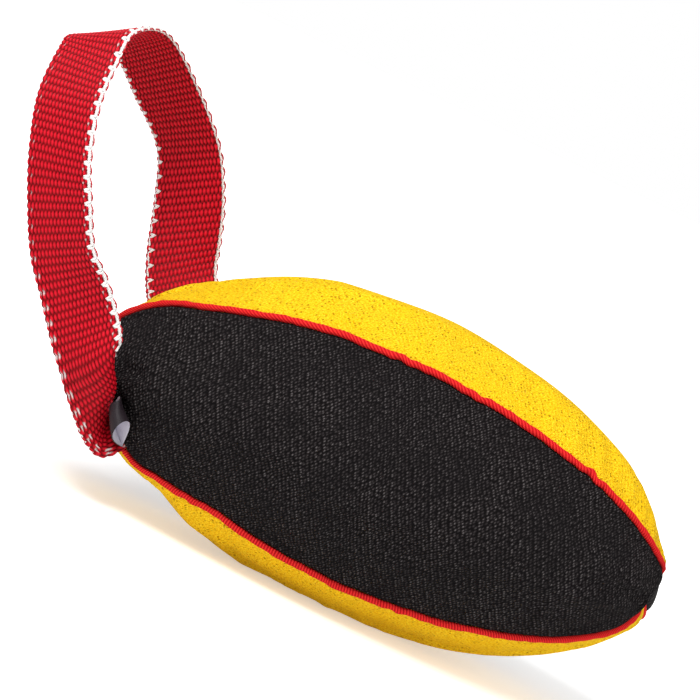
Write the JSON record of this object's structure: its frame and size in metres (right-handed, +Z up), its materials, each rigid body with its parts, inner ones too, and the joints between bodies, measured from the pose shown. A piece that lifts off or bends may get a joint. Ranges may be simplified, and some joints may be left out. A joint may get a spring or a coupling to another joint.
{
  "type": "training bumper",
  "caption": "Stuffed pointed-oval training bumper in contrasting sewn fabric panels with piped seams and a webbing handle loop at the tail, for throwing and fetching.",
  "frame": {"origin": "middle of the flat that the soft body makes where it lies", "axes": "+X along the body from the tail with the handle to the nose, +Z up, the front dark panel faces -Y"},
  "size_m": [0.2553, 0.102, 0.1477],
  "materials": {
    "black_fabric": "coarse matte weave",
    "yellow_fabric": "coarse matte weave",
    "red_piping": "ribbed satin tape",
    "piping_cord": "twisted cotton",
    "fibre_filling": "loose fibre",
    "red_webbing": "nylon webbing with a soft sheen",
    "white_yarn": "soft twisted yarn",
    "label_tape": "satin"
  },
  "bodies": {
    "bumper": {"front_panel": "black_fabric", "back_panel": "black_fabric", "top_panel": "yellow_fabric", "bottom_panel": "yellow_fabric", "front_top_piping": "red_piping", "front_bottom_piping": "red_piping", "back_bottom_piping": "red_piping", "back_top_piping": "red_piping", "front_top_cord": "piping_cord", "front_bottom_cord": "piping_cord", "back_bottom_cord": "piping_cord", "back_top_cord": "piping_cord", "stuffing": "fibre_filling", "lower_strap_root": "red_webbing", "upper_strap_root": "red_webbing", "label_loop": "label_tape"},
    "handle": {"handle_strap": "red_webbing", "handle_near_edge": "white_yarn", "handle_far_edge": "white_yarn"}
  },
  "joints": [
    {"name": "handle_swing", "type": "hinge", "parent": "bumper", "child": "handle", "pos_m": [-0.08645, -0.01607, 0.02631], "axis": [0.1109, 0.652, 0.7501], "range_deg": [-50, 18], "stiffness_Nm_per_rad": 0.2}
  ]
}
